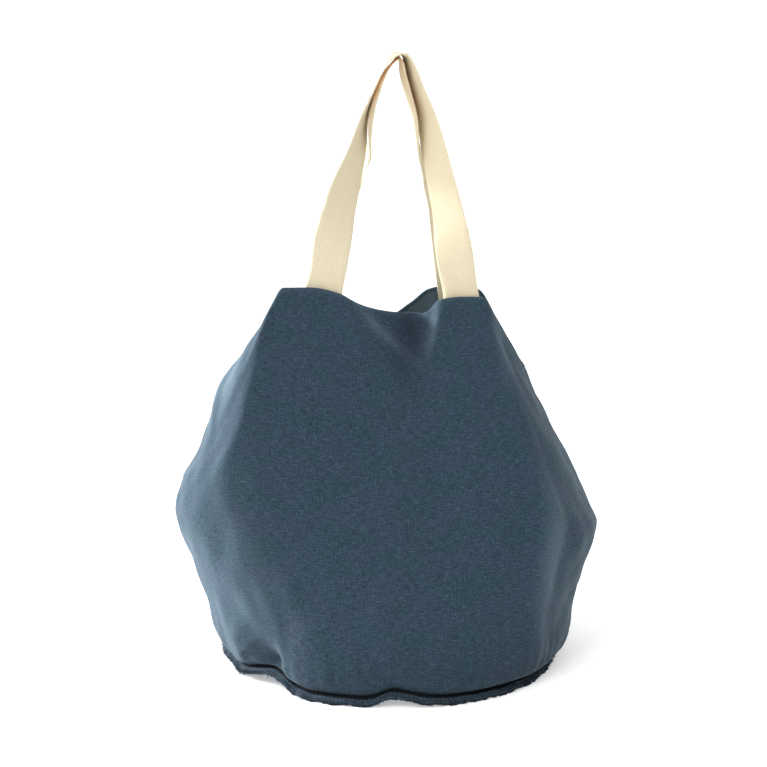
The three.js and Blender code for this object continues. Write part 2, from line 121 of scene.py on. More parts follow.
# Folds: turn and up of the middle, lean in degrees for the whole height, half-spreads, depth
folds = {
    "columns": ("turn", "up", "lean", "wide", "tall", "depth"),
    "rows": [
        (283, 1.0, 45, 11, 0.14, -0.95),  # front mouth dent
        (292, 0.95, 60, 5, 0.08, 0.3),  # right root ridge
        (259, 0.93, -110, 8, 0.12, 0.3),  # left root ridge
        (272, 0.7, 0, 22, 0.14, -0.3),  # chest hollow
        (319, 0.32, 6, 6, 0.3, 0.4),  # right front ridge
        (226, 0.3, -6, 9, 0.3, 0.25),  # left front ridge
        (195, 0.84, -30, 5, 0.14, 0.35),  # left shoulder ridge
        (186, 0.65, 0, 9, 0.035, -0.2),  # left waist tuck
        (217, 0.09, 0, 6, 0.07, 0.7),  # lower left puff
        (230, 0.04, 0, 4, 0.06, -0.6),  # lower left tuck
        (345, 0.22, 0, 9, 0.03, -0.25),  # lower right crease
        (92, 1.0, -30, 12, 0.15, -0.8),  # back mouth dent
        (98, 0.66, 20, 22, 0.16, -0.35),  # back chest hollow
        (128, 0.36, -10, 7, 0.26, 0.4),  # back left ridge
        (52, 0.3, 8, 7, 0.28, 0.35),  # back right ridge
        (74, 0.42, 60, 10, 0.05, -0.3),  # back hip crease
    ],
}


def column(table, name):
    place = table["columns"].index(name)
    return np.array([row[place] for row in table["rows"]], float)


# One column of a table at any places: a smooth curve through its rows
def readTable(table, place, value, at):
    places = column(table, place)
    values = column(table, value)
    at = np.asarray(at, float)
    slopes = np.diff(values) / np.diff(places)
    before, after = slopes[:-1], slopes[1:]
    product = before * after
    total = np.where(product > 0, before + after, 1)
    tangents = np.concatenate([slopes[:1], np.where(product > 0, 2 * product / total, 0), slopes[-1:]])
    row = np.clip(np.searchsorted(places, at, side="left") - 1, 0, len(places) - 2)
    span = places[row + 1] - places[row]
    share = (at - places[row]) / span
    start, end = tangents[row], tangents[row + 1]
    bend = share * (1 - share)
    inside = mix(values[row], values[row + 1], share * share * (3 - 2 * share))
    inside = inside + span * bend * (start * (1 - share) - end * share)
    below = values[row] + start * span * share
    above = values[row + 1] + end * span * (share - 1)
    return np.where(share < 0, below, np.where(share > 1, above, inside))


def mix(one, two, share):
    return one + (two - one) * share


def smoothStep(value, low, high):
    share = np.clip((value - low) / (high - low), 0, 1)
    return share * share * (3 - 2 * share)


def wrap(turn):
    return np.mod(turn, 360)


def unit(vectors):
    return vectors / np.linalg.norm(vectors, axis=-1, keepdims=True)


# Random waves of the cloth: their number, then how many in a whole turn and over the height
waves = {
    "sag": (9, (2, 7), (0.4, 1.6)),
    "rumple": (14, (9, 30), (2, 7)),
    "pucker": (10, (38, 74), (0, 0)),
    "ripple": (12, (18, 52), (0, 0)),
    "fineJag": (16, (90, 210), (0, 0)),
    "coarseJag": (8, (20, 60), (0, 0)),
}
seeds = {"sag": 11, "rumple": 12, "pucker": 13, "bodyEdge": 21, "baseEdge": 23, "ripple": 31, "fray": 8}


# A soft random field round the bag: waves that close on themselves after a whole turn
def softWaves(turn, up, seed, count, rounds, rises):
    draw = np.random.default_rng(seed)
    field = np.zeros(np.broadcast(turn, up).shape)
    for _ in range(count):
        along = int(draw.integers(rounds[0], rounds[1] + 1))
        rise = draw.uniform(rises[0], rises[1]) * draw.choice([-1, 1])
        phase = draw.uniform(0, 2 * math.pi)
        field = field + np.cos(np.radians(along * turn) + 2 * math.pi * rise * up + phase)
    return field / math.sqrt(count / 2)


def seamLine(turn):
    lowest = bag["clothWall"] + bag["layerGap"] / 2 + bag["flangeDrop"]
    lift = readTable(seam, "turn", "lift", wrap(turn))
    return np.maximum(bag["seamHeight"] + bag["seamWave"] * lift, lowest)


def seamRadius(turn):
    return bag["baseDiameter"] / 2 + bag["seamWave"] * readTable(seam, "turn", "out", wrap(turn))


# A point of the plan whose half-width and half-depth are both 1
def planPoint(turn, corner):
    angle = np.radians(turn)
    fromTip = np.minimum(wrap(turn), wrap(-turn))
    nearTip = np.where(fromTip < 90, fromTip, 180 - fromTip)
    bend = np.minimum(nearTip / bag["cornerTurn"], 1) * math.pi / 2
    inwards = np.maximum((nearTip - bag["cornerTurn"]) / bag["cornerTurn"], 0)
    side = np.sign(np.cos(angle))
    cornerPlace = np.where(side < 0, bag["leftCorner"], bag["rightCorner"])
    flank = mix(cornerPlace, 1, np.cos(bend))
    x = side * np.where(inwards > 0, cornerPlace * (1 - inwards), flank)
    y = np.sign(np.sin(angle)) * np.sin(bend)
    return mix(np.cos(angle), x, corner), mix(np.sin(angle), y, corner)


# Outer face of the cloth before its folds; up runs from 0 at the seam to 1 at the rim
def smoothPoint(turn, up):
    turn, up = np.broadcast_arrays(np.asarray(turn, float), np.asarray(up, float))
    x, y = planPoint(turn, readTable(sections, "up", "corner", up))
    baseRadius = bag["baseDiameter"] / 2
    swell = bag["bellyWidth"] / 2 - mix(baseRadius, bag["mouthWidth"] / 2, bag["bellyLevel"])
    left = readTable(sections, "up", "left", up)
    right = readTable(sections, "up", "right", up)
    halfWidth = mix(baseRadius, bag["mouthWidth"] / 2, up) + swell * np.where(x < 0, left, right)
    deep = bag["frontSwell"] * readTable(sections, "up", "deep", up)
    halfDepth = mix(baseRadius, bag["mouthDepth"] / 2, up) + deep
    foot = seamLine(turn) + bag["layerGap"] / 2 + bag["clothWall"]
    top = bag["rimHeight"] * readTable(rim, "turn", "height", wrap(turn))
    spread = 1 + (seamRadius(turn) / baseRadius - 1) * (1 - up) ** 3
    return np.stack([halfWidth * x * spread, halfDepth * y * spread, mix(foot, top, up)], axis=-1)


# What the fine mesh adds to the folds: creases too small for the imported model
fineCloth = {
    "columns": ("turn", "up", "lean", "wide", "tall", "depth"),
    "rows": [
        (267, 0.95, -170, 3.2, 0.07, 0.22),  # crisp line inside the left root ridge
        (290, 0.94, 70, 2.8, 0.06, 0.26),  # crisp line inside the right root ridge
        (281, 0.93, 0, 6.5, 0.09, -0.35),  # dent between them
        (196, 0.86, -40, 2.0, 0.13, 0.3),  # edge of the left facet
        (184, 0.585, 0, 6, 0.014, 0.18),  # lip over the waist tuck
        (348, 0.235, -160, 2.6, 0.024, 0.2),  # lower right crease's pale lip
        (220, 0.06, 190, 3.2, 0.035, 0.26),  # edge of the lower left puff
        (229, 0.035, 120, 4.5, 0.03, -0.35),  # tuck beside the puff
        (224, 0.16, -60, 4.0, 0.1, 0.26),  # ridge over the puff
        (321, 0.36, 4, 3.6, 0.22, 0.26),  # crest of the right front ridge
        (312, 0.36, 4, 5.0, 0.22, -0.12),  # hollow before it
        (84, 0.95, 60, 2.6, 0.06, 0.12),  # back mouth ridge
        (103, 0.95, -60, 2.6, 0.06, 0.12),  # back mouth ridge
    ],
    "seamPucker": 0.0006,  # ripples that the seam gathers in the foot
    "puckerHeight": 0.055,  # share of the height over which they fade
    "sag": 0.0008,  # slow waves of the whole cloth
    "sagFade": 0.2,  # share of the height under the rim over which they grow
    "rumple": 0.00035,
    "sideSeam": 0.0009,  # depth of the groove down each side
    "sideSeamWidth": 0.9,  # degrees
    "hemRelief": 0.0003,
    "seamRoll": 0.0034,  # how far the cloth rolls out over the seam
    "rollStart": 0.012,
    "rollEnd": 0.12,
}


# Pale places painted on the ridges of the cloth, partly painted highlights and partly worn fading, and
# painted shade in its hollows; the amount is a share
highlightsAndFading = {
    "columns": ("turn", "up", "lean", "wide", "tall", "amount"),
    "rows": [
        (197, 0.86, -20, 9, 0.11, 1.5),  # left facet
        (321, 0.36, 4, 3.4, 0.2, 0.7),  # right front ridge
        (226, 0.3, -6, 8, 0.25, 0.3),  # left front ridge
        (224, 0.16, -60, 4, 0.1, 0.4),  # ridge over the lower left puff
        (267, 0.95, -170, 3, 0.07, 0.5),  # left root ridge
        (290, 0.94, 70, 2.2, 0.05, 0.5),  # right root ridge
        (184, 0.6, 0, 8, 0.03, 0.4),  # lip of the waist tuck
        (322, 0.93, 25, 4, 0.12, 0.8),  # right shoulder
        (128, 0.36, -10, 4, 0.22, 0.5),  # back left ridge
        (52, 0.3, 8, 4, 0.22, 0.5),  # back right ridge
    ],
}
shades = {
    "columns": ("turn", "up", "lean", "wide", "tall", "amount"),
    "rows": [
        (281, 0.96, 0, 6, 0.05, 0.4),  # front mouth dent
        (279, 0.87, 0, 9, 0.09, 0.2),
        (230, 0.04, 120, 4, 0.03, 0.4),  # lower left tuck
        (92, 0.95, 0, 8, 0.08, 0.3),  # back mouth dent
    ],
}


def spotSum(table, turn, up):
    total = 0
    for middle, level, lean, wide, tall, amount in table["rows"]:
        around = (wrap(turn - middle - lean * (up - level) + 180) - 180) / wide
        high = (up - level) / tall
        total = total + amount * np.exp(-around * around - high * high)
    return total


def foldSum(table, turn, up):
    return bag["foldDepth"] * spotSum(table, turn, up)


def foldOffset(turn, up):
    return foldSum(folds, turn, up) * np.minimum(up / bag["foldFade"], 1)


def fineOffset(turn, up):
    fade = smoothStep(up, 0, 2 * bag["foldFade"])
    body = foldSum(fineCloth, turn, up)
    sag = softWaves(turn, up, seeds["sag"], *waves["sag"])
    body = body + fineCloth["sag"] * sag * smoothStep(1 - up, 0, fineCloth["sagFade"])
    body = body + fineCloth["rumple"] * softWaves(turn, up, seeds["rumple"], *waves["rumple"])
    puckers = softWaves(turn, 0 * up, seeds["pucker"], *waves["pucker"])
    puckers = puckers * np.exp(-up / fineCloth["puckerHeight"])
    fromSeam = np.minimum(wrap(turn), wrap(-turn))
    fromSeam = np.minimum(fromSeam, np.abs(wrap(turn) - 180)) / fineCloth["sideSeamWidth"]
    groove = -fineCloth["sideSeam"] * np.exp(-fromSeam * fromSeam)
    rolled = 1 - np.exp(-(up / fineCloth["rollStart"]) ** 2)
    roll = fineCloth["seamRoll"] * rolled * np.exp(-(up / fineCloth["rollEnd"]) ** 2)
    return (body + fineCloth["seamPucker"] * puckers + groove) * fade + roll


# Outer face of the cloth with its folds; fine adds the small creases
def clothPoint(turn, up, fine=0.0):
    turn, up = np.broadcast_arrays(np.asarray(turn, float), np.asarray(up, float))
    step = 0.5
    along = smoothPoint(turn + step, up) - smoothPoint(turn - step, up)
    outward = unit(np.stack([along[..., 1], -along[..., 0], np.zeros_like(up)], axis=-1))
    offset = foldOffset(turn, up)
    if fine:
        offset = offset + fine * fineOffset(turn, up)
    return smoothPoint(turn, up) + outward * offset[..., None]


def clothNormal(turn, up, fine=0.0):
    turnStep, shareStep = 0.5, 0.004
    around = clothPoint(turn + turnStep, up, fine) - clothPoint(turn - turnStep, up, fine)
    rise = clothPoint(turn, up + shareStep, fine) - clothPoint(turn, up - shareStep, fine)
    return unit(np.cross(around, rise))


def upBelowRim(turn, length):
    measured = 0.1
    reach = clothPoint(turn, 1.0) - clothPoint(turn, 1 - measured)
    return 1 - length / (np.linalg.norm(reach, axis=-1) / measured)


# Meshes from rows of points

def select(obj):
    bpy.ops.object.select_all(action="DESELECT")
    obj.select_set(True)
    bpy.context.view_layer.objects.active = obj


# A grid primitive laid over rows of points; edges that meet are merged
def layGrid(name, points, uv, attributes=None):
    rows, columns = points.shape[:2]
    bpy.ops.mesh.primitive_grid_add(x_subdivisions=columns - 1, y_subdivisions=rows - 1, size=1)
    piece = bpy.context.object
    piece.name = name
    mesh = piece.data
    mesh.name = name
    flat = np.zeros(len(mesh.vertices) * 3)
    mesh.vertices.foreach_get("co", flat)
    flat = flat.reshape(-1, 3)
    across = np.rint((flat[:, 0] + 0.5) * (columns - 1)).astype(int)
    along = np.rint((flat[:, 1] + 0.5) * (rows - 1)).astype(int)
    mesh.vertices.foreach_set("co", points[along, across].ravel())
    loops = np.zeros(len(mesh.loops), int)
    mesh.loops.foreach_get("vertex_index", loops)
    layer = mesh.uv_layers[0]
    layer.name = "clothLay"
    layer.data.foreach_set("uv", uv[along[loops], across[loops]].ravel())
    for key, values in (attributes or {}).items():
        attribute = mesh.attributes.new(key, "FLOAT", "POINT")
        attribute.data.foreach_set("value", values[along, across])
    select(piece)
    bpy.ops.object.mode_set(mode="EDIT")
    bpy.ops.mesh.select_all(action="SELECT")
    bpy.ops.mesh.remove_doubles(threshold=1e-6)
    bpy.ops.mesh.normals_make_consistent(inside=False)
    bpy.ops.object.mode_set(mode="OBJECT")
    bpy.ops.object.shade_smooth()
    mesh.update()
    return piece


def finishPiece(piece, material, slotName, *nodes):
    piece.data.materials.clear()
    piece.data.materials.append(material)
    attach(piece, "root")
    if nodes:
        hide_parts(*nodes)
    print(piece.name, len(piece.data.polygons), "faces")


# Materials

def setInputs(tree, node, inputs):
    for key, value in inputs.items():
        if isinstance(value, bpy.types.NodeSocket):
            tree.links.new(value, node.inputs[key])
        else:
            node.inputs[key].default_value = value


def addNode(tree, kind, inputs=None, **settings):
    made = tree.nodes.new(kind)
    for key, value in settings.items():
        setattr(made, key, value)
    setInputs(tree, made, inputs or {})
    return made


def newMaterial(name):
    material = bpy.data.materials.new(name)
    material.use_nodes = True
    tree = material.node_tree
    return material, tree, tree.nodes["Principled BSDF"]


def calculate(tree, operation, *values):
    return addNode(tree, "ShaderNodeMath", dict(enumerate(values)), operation=operation).outputs[0]


# A value carried over: span holds the low and high that it has, then those that it gets
def remap(tree, value, span):
    return addNode(tree, "ShaderNodeMapRange", dict(enumerate((value, *span)))).outputs[0]


def readAttribute(tree, name):
    return addNode(tree, "ShaderNodeAttribute", attribute_name=name).outputs["Fac"]


def addBump(tree, strength, distance, height):
    inputs = {"Strength": strength, "Distance": distance, "Height": height}
    return addNode(tree, "ShaderNodeBump", inputs).outputs[0]


# Noise drawn out along one direction of the cloth; size is a grain's width and height
def threadNoise(tree, place, size, detail=2.0, rough=0.5):
    scale = (1 / size[0], 1 / size[1], 1)
    mapping = addNode(tree, "ShaderNodeMapping", {"Vector": place, "Scale": scale})
    inputs = {"Vector": mapping.outputs[0], "Scale": 1.0, "Detail": detail, "Roughness": rough}
    return addNode(tree, "ShaderNodeTexNoise", inputs).outputs["Fac"]


# Patterns from 0 to 1 added up by their weights round a middle tone
def blendSum(tree, patterns, weights):
    middle = 0.5
    total = middle
    for pattern, weight in zip(patterns, weights):
        scaled = calculate(tree, "MULTIPLY", calculate(tree, "SUBTRACT", pattern, middle), weight)
        total = calculate(tree, "ADD", scaled, total)
    return total


def mixColor(tree, share, one, two):
    made = addNode(tree, "ShaderNodeMix", {0: share, 6: one, 7: two}, data_type="RGBA")
    return made.outputs[2]


def fromScreen(red, green, blue):
    shares = [value / 255 for value in (red, green, blue)]
    linear = [v / 12.92 if v <= 0.04045 else ((v + 0.055) / 1.055) ** 2.4 for v in shares]
    return (*linear, 1.0)


def darker(color, share):
    return tuple(share * value for value in color[:3]) + (1.0,)


denim = {
    "dark": fromScreen(21, 30, 39),
    "middle": fromScreen(43, 61, 75),
    "light": fromScreen(72, 93, 106),
    "green": fromScreen(38, 68, 78),
    "violet": fromScreen(52, 58, 84),
    # pale colour of worn threads, also used for the painted highlights
    "wornAndHighlight": fromScreen(110, 130, 142),
    # near-black colour of the painted shade in the crevice, hollows, raw edges and at the foot
    "crease": fromScreen(6, 9, 13),
    "ribPitch": 0.0013,
    "warp": (0.0012, 0.005),  # upright threads: pitch and length
    "weft": (0.0062, 0.0010),  # slubs that lie level
    "grain": (0.0012, 0.0010),
    "patch": (0.035, 0.02),
    "fleck": (0.0014, 0.0010),
    "detail": 3.0,  # of the noise of weft and grain
    "grainRoughness": 0.6,
    "toneWeights": (0.16, 0.45, 0.8, 1.35, 0.1),  # of ribs, warp, weft, grain and patch
    "heightWeights": (0.25, 0.5, 0.6, 0.9),
    "toneEnds": (0.22, 0.80),  # where the cloth is darkest and lightest
    "hueSpan": (0.35, 0.65, 0.0, 1.0),
    "hueShare": 0.26,
    "fleckSpan": (0.76, 0.86, 0.0, 0.5),
    "roughSpan": (0.3, 0.7, 0.82, 0.96),
    "specular": 0.2,
    "sheen": 0.3,
    "sheenRoughness": 0.45,
    "sheenTint": fromScreen(190, 212, 224),
    "bump": 0.0004,
    "bumpStrength": 0.7,
}


def makeDenim():
    material, tree, shader = newMaterial("denimTwill")
    place = addNode(tree, "ShaderNodeUVMap", uv_map="clothLay").outputs[0]
    across = addNode(tree, "ShaderNodeSeparateXYZ", {0: place}).outputs[0]
    ribAngle = calculate(tree, "MULTIPLY", across, 2 * math.pi / denim["ribPitch"])
    ribs = remap(tree, calculate(tree, "COSINE", ribAngle), (-1.0, 1.0, 0.0, 1.0))
    warp = threadNoise(tree, place, denim["warp"])
    weft = threadNoise(tree, place, denim["weft"], denim["detail"])
    grain = threadNoise(tree, place, denim["grain"], denim["detail"], denim["grainRoughness"])
    patch = threadNoise(tree, place, denim["patch"])
    fleck = threadNoise(tree, place, denim["fleck"], 0.0)
    patterns = (ribs, warp, weft, grain, patch)
    ramp = addNode(tree, "ShaderNodeValToRGB", {"Fac": blendSum(tree, patterns, denim["toneWeights"])})
    stops = ramp.color_ramp.elements
    for stop, tone, color in zip(stops, denim["toneEnds"], (denim["dark"], denim["light"])):
        stop.position = tone
        stop.color = color
    stops.new(0.5).color = denim["middle"]
    hue = mixColor(tree, remap(tree, patch, denim["hueSpan"]), denim["green"], denim["violet"])
    cloth = mixColor(tree, denim["hueShare"], ramp.outputs[0], hue)
    cloth = mixColor(tree, remap(tree, fleck, denim["fleckSpan"]), cloth, denim["wornAndHighlight"])
    # Paler by the attribute: real wear at the rim, painted highlights on the ridges, and a paler inside that
    # is partly painted light
    wearAndHighlightShare = calculate(tree, "MULTIPLY", readAttribute(tree, "wearAndPaintedLight"), grain)
    cloth = mixColor(tree, wearAndHighlightShare, cloth, denim["wornAndHighlight"])
    # Painted shade: the cloth goes towards the near-black colour and loses its sheen where it lies in shade
    crease = readAttribute(tree, "crease")
    height = blendSum(tree, patterns, denim["heightWeights"])
    setInputs(tree, shader, {
        "Base Color": mixColor(tree, crease, cloth, denim["crease"]),
        "Roughness": remap(tree, grain, denim["roughSpan"]),
        "Specular IOR Level": denim["specular"],
        "Sheen Weight": remap(tree, crease, (0.0, 1.0, denim["sheen"], 0.0)),
        "Sheen Roughness": denim["sheenRoughness"],
        "Sheen Tint": denim["sheenTint"],
        "Normal": addBump(tree, denim["bumpStrength"], denim["bump"], height),
    })
    return material


webbing = {
    "width": 0.030,
    "wall": 0.0018,
    "edgePower": 14,  # how square the strap's edges are
    "thinnest": 0.02,
    "ribPitch": 0.0015,
    "ribHeight": 0.00012,
    "ribReach": 0.97,
    "weftPitch": 0.0009,
    "grain": (0.0007, 0.0011),
    "grainDetail": 3.0,
    "patch": (0.012, 0.04),
    "ribSpan": (-1.0, 1.0, 0.42, 0.0),
    "grainSpan": (0.35, 0.75, 0.0, 0.35),
    "patchSpan": (0.4, 0.8, 0.0, 0.25),
    "heightWeights": (0.25, 0.3, 0.5),  # of ribs, weft and grain
    "pale": fromScreen(235, 225, 197),
    "groove": fromScreen(213, 198, 163),
    # warm brown painted shade of the straps' inner faces near the peak
    "shade": fromScreen(196, 124, 52),
    "roughness": 0.8,
    "specular": 0.25,
    "sheen": 0.15,
    "bump": 0.0003,
    "bumpStrength": 0.6,
}


def makeWebbing():
    material, tree, shader = newMaterial("creamWebbing")
    place = addNode(tree, "ShaderNodeUVMap", uv_map="clothLay").outputs[0]
    split = addNode(tree, "ShaderNodeSeparateXYZ", {0: place})
    ribAngle = calculate(tree, "MULTIPLY", split.outputs[0], 2 * math.pi / webbing["ribPitch"])
    weftAngle = calculate(tree, "MULTIPLY", split.outputs[1], 2 * math.pi / webbing["weftPitch"])
    ribs = calculate(tree, "COSINE", ribAngle)
    slant = calculate(tree, "ADD", weftAngle, calculate(tree, "MULTIPLY", ribAngle, 0.5))
    weft = calculate(tree, "SINE", slant)
    grain = threadNoise(tree, place, webbing["grain"], webbing["grainDetail"])
    patch = threadNoise(tree, place, webbing["patch"])
    color = webbing["pale"]
    for pattern, span in ((ribs, "ribSpan"), (grain, "grainSpan"), (patch, "patchSpan")):
        color = mixColor(tree, remap(tree, pattern, webbing[span]), color, webbing["groove"])
    height = blendSum(tree, (ribs, weft, grain), webbing["heightWeights"])
    setInputs(tree, shader, {
        # Painted warm shade on the inner faces near the peak
        "Base Color": mixColor(tree, readAttribute(tree, "paintedWarmShade"), color, webbing["shade"]),
        "Roughness": webbing["roughness"],
        "Specular IOR Level": webbing["specular"],
        "Sheen Weight": webbing["sheen"],
        "Normal": addBump(tree, webbing["bumpStrength"], webbing["bump"], height),
    })
    return material


threadLook = {
    "grainScale": 900.0,
    "darkShare": 0.55,
    "roughness": 0.85,
    "bump": 0.0002,
    "bumpStrength": 0.5,
}


def makeThread(name, color, sheen=0.2):
    material, tree, shader = newMaterial(name)
    place = addNode(tree, "ShaderNodeTexCoord").outputs["Object"]
    inputs = {"Vector": place, "Scale": threadLook["grainScale"], "Detail": 2.0}
    noise = addNode(tree, "ShaderNodeTexNoise", inputs).outputs["Fac"]
    setInputs(tree, shader, {
        "Base Color": mixColor(tree, noise, darker(color, threadLook["darkShare"]), color),
        "Roughness": threadLook["roughness"],
        "Sheen Weight": sheen,
        "Normal": addBump(tree, threadLook["bumpStrength"], threadLook["bump"], noise),
    })
    return material


denimMaterial = makeDenim()
webbingMaterial = makeWebbing()
print("materials made")

# Cloth body and base

clothMesh = {
    "columns": 432,
    "footRows": 14,
    "footShare": 0.06,
    "wallRows": 74,
    "hemRows": 9,
    "rimRows": 6,
    "innerRows": 44,
    "hemStep": 0.001,  # half the height over which the wall thickens to the hem
    "edgeShares": (0.95, 0.8, 0.6, 0.4, 0.2, 0.08),
    "underShares": (0.0, 0.3, 0.6, 0.95),
    "tipShare": 0.985,  # share of the flange at which its rounded edge is
    "discShares": (0.0, 0.04, 0.12, 0.25, 0.4, 0.55, 0.7, 0.85, 0.97),
    "borderShares": (0.15, 1, 7),  # first, last and number of the border's rows
    "borderCurve": 1.7,
    "fray": 0.0005,  # unevenness of the raw edges
    "coarseFray": 0.6,  # its slower waves, as a share
    "ripple": 0.0005,  # waves of the raw edges
    "lowestRipple": -0.0004,
    "underEdge": 0.0009,  # how far the base's raw edge shows past the body's
    "layLength": 0.92,  # flat length of the cloth round the bag
}

# Where shade is painted on the cloth, where it is worn, and how pale its inner side is
clothTone = {
    "reach": 0.35,
    "height": 0.0028,
    "strength": 0.96,
    "creaseFade": (-0.0015, 0.001),
    # painted shade, darker towards the foot over footHeight
    "foot": 0.2,
    "footHeight": 0.03,
    "edge": 0.6,  # painted shade along the raw edges
    "edgeWidth": 0.0012,
    # painted shade on the base's raw edge, between these distances past its seam
    "baseEdge": (0.006, 0.009),
    "rim": 0.22,  # wear of the rim
    "rimWidth": 0.002,
    "inside": 1.5,  # the paler inner side of the cloth, partly painted light on the shaded inside
}

turns = np.linspace(0, 360, clothMesh["columns"] + 1)
turns[-1] = 0.0


def flangeWidthAt(turn, seed):
    coarse = softWaves(turn, 0.0, seed + 1, *waves["coarseJag"])
    jag = softWaves(turn, 0.0, seed, *waves["fineJag"]) + clothMesh["coarseFray"] * coarse
    return bag["flangeWidth"] + clothMesh["fray"] * jag - clothMesh["underEdge"]


# Small waves of the flange, which grow towards its raw edge
def flangeRipple(turn, share):
    ripple = clothMesh["ripple"] * softWaves(turn, 0.0, seeds["ripple"], *waves["ripple"]) * share
    return np.maximum(ripple, clothMesh["lowestRipple"])


# A ring outside the seam: share 0 at the seam, 1 at the raw edge; over is above the seam line
def edgeRing(share, over, seed=seeds["bodyEdge"], wider=0.0):
    outside = (flangeWidthAt(turns, seed) + wider) * share
    radius = seamRadius(turns) + outside
    height = seamLine(turns) - bag["flangeDrop"] * share + over + flangeRipple(turns, share)
    angle = np.radians(turns)
    return np.stack([radius * np.cos(angle), radius * np.sin(angle), height], axis=-1)


def insideSeam(inset, height):
    radius = seamRadius(turns) - inset
    angle = np.radians(turns)
    return np.stack([radius * np.cos(angle), radius * np.sin(angle), height + 0 * radius], axis=-1)


def wallRow(up, inset=0.0):
    hemLow = upBelowRim(turns, bag["hemWidth"] + clothMesh["hemStep"])
    hemHigh = upBelowRim(turns, bag["hemWidth"] - clothMesh["hemStep"])
    lift = fineCloth["hemRelief"] * smoothStep(up, hemLow, hemHigh)
    return clothPoint(turns, up, 1.0) + clothNormal(turns, up, 1.0) * (lift - inset)[..., None]


# Rows of the body: out along the flange's top, up the wall, over the rim and down the inside
def bodyRows():
    under = bag["layerGap"] / 2
    over = under + bag["clothWall"]
    middle = (under + over) / 2
    footShare = clothMesh["footShare"]
    hemStep = clothMesh["hemStep"]
    rows = [edgeRing(clothMesh["tipShare"], (middle + over) / 2)]
    rows += [edgeRing(share, over) for share in clothMesh["edgeShares"]]
    foot = footShare * np.linspace(0, 1, clothMesh["footRows"], endpoint=False) ** 1.6
    ups = [np.full_like(turns, up) for up in foot]
    hemStart = upBelowRim(turns, bag["hemWidth"] + 3 * hemStep)
    ups += [mix(footShare, hemStart, share) for share in np.linspace(0, 1, clothMesh["wallRows"])]
    hemLengths = np.linspace(bag["hemWidth"] + hemStep, 0, clothMesh["hemRows"])
    ups += [upBelowRim(turns, length) for length in hemLengths]
    rows += [wallRow(up) for up in ups]
    normal = clothNormal(turns, np.ones_like(turns), 1.0)
    upward = unit(clothPoint(turns, 1.0, 1.0) - clothPoint(turns, 0.98, 1.0))
    half = bag["hemWall"] / 2
    centre = wallRow(np.ones_like(turns), half)
    for angle in np.linspace(0, math.pi, clothMesh["rimRows"] + 2)[1:-1]:
        rows.append(centre + normal * (half * math.cos(angle)) + upward * (0.8 * half * math.sin(angle)))
    hemLow = upBelowRim(turns, bag["hemWidth"] + hemStep)
    hemHigh = upBelowRim(turns, bag["hemWidth"])

    def wallAt(up):
        return mix(bag["clothWall"], bag["hemWall"], smoothStep(up, hemLow, hemHigh))

    inner = [upBelowRim(turns, length) for length in np.linspace(0, bag["hemWidth"] + 2 * hemStep, 7)]
    downwards = np.linspace(0.02, 1, clothMesh["innerRows"])
    inner += [mix(hemStart, bag["foldFade"], share) for share in downwards]
    rows += [wallRow(up, wallAt(up)) for up in inner]
    rows += [insideSeam(bag["clothWall"], seamLine(turns) + over + bag["clothWall"])]
    rows += [insideSeam(bag["clothWall"], seamLine(turns) + under)]
    rows += [edgeRing(share, under) for share in clothMesh["underShares"]]
    rows += [edgeRing(clothMesh["tipShare"], (middle + under) / 2)]
    rows += [rows[0]]
    return np.array(rows)


def layUv(points, length):
    steps = np.linalg.norm(np.diff(points, axis=0), axis=-1).mean(axis=1)
    heights = np.concatenate([[0], np.cumsum(steps)])
    across = np.linspace(0, length, points.shape[1])
    return np.stack(np.broadcast_arrays(across[None, :], heights[:, None]), axis=-1)


# Painted shade of each point of the body: near-black in the crease over the flange, a little darker towards
# the foot
def creaseShade(points):
    radius = seamRadius(turns) + bag["flangeWidth"] * clothTone["reach"]
    out = np.linalg.norm(points[..., :2], axis=-1) - radius
    high = points[..., 2] - seamLine(turns) - bag["clothWall"]
    near = np.exp(-(np.maximum(high, 0) / clothTone["height"]) ** 2)
    low = clothTone["foot"] * np.exp(-(np.maximum(high, 0) / clothTone["footHeight"]) ** 2)
    nearSeam = smoothStep(-out, *clothTone["creaseFade"])
    return np.maximum(clothTone["strength"] * near * nearSeam, low)


def makeBody():
    points = bodyRows()
    uv = layUv(points, clothMesh["layLength"])
    # Painted shade along the body's raw edge
    fromEdge = np.linalg.norm(points - points[:1], axis=-1)
    edgeShade = clothTone["edge"] * np.exp(-(fromEdge / clothTone["edgeWidth"]) ** 2)
    rimPoint = clothPoint(turns, 1.0, 1.0)
    fromRim = np.linalg.norm(points - rimPoint[None], axis=-1)
    wearAndPaintedLight = clothTone["rim"] * np.exp(-(fromRim / clothTone["rimWidth"]) ** 2)
    outerRows = [clothMesh[key] for key in ("footRows", "wallRows", "hemRows", "rimRows")]
    inside = np.arange(len(points)) > 1 + len(clothMesh["edgeShares"]) + sum(outerRows)
    foot = seamLine(turns) + bag["clothWall"]
    ups = (points[..., 2] - foot) / (rimPoint[:, 2] - foot)
    # Painted highlights on the ridges and a paler inside that is partly painted light, added to the rim's
    # wear
    wearAndPaintedLight = wearAndPaintedLight + np.where(inside[:, None], clothTone["inside"], spotSum(highlightsAndFading, turns[None], ups))
    # Painted shade: crevice over the flange, foot, raw edge and hollows
    crease = np.maximum(creaseShade(points), edgeShade)
    crease = np.maximum(crease, np.where(inside[:, None], 0, spotSum(shades, turns[None], ups)))
    body = layGrid("bag_body", points, uv, {"wearAndPaintedLight": wearAndPaintedLight, "crease": crease})
    finishPiece(body, denimMaterial, "denim", "body")


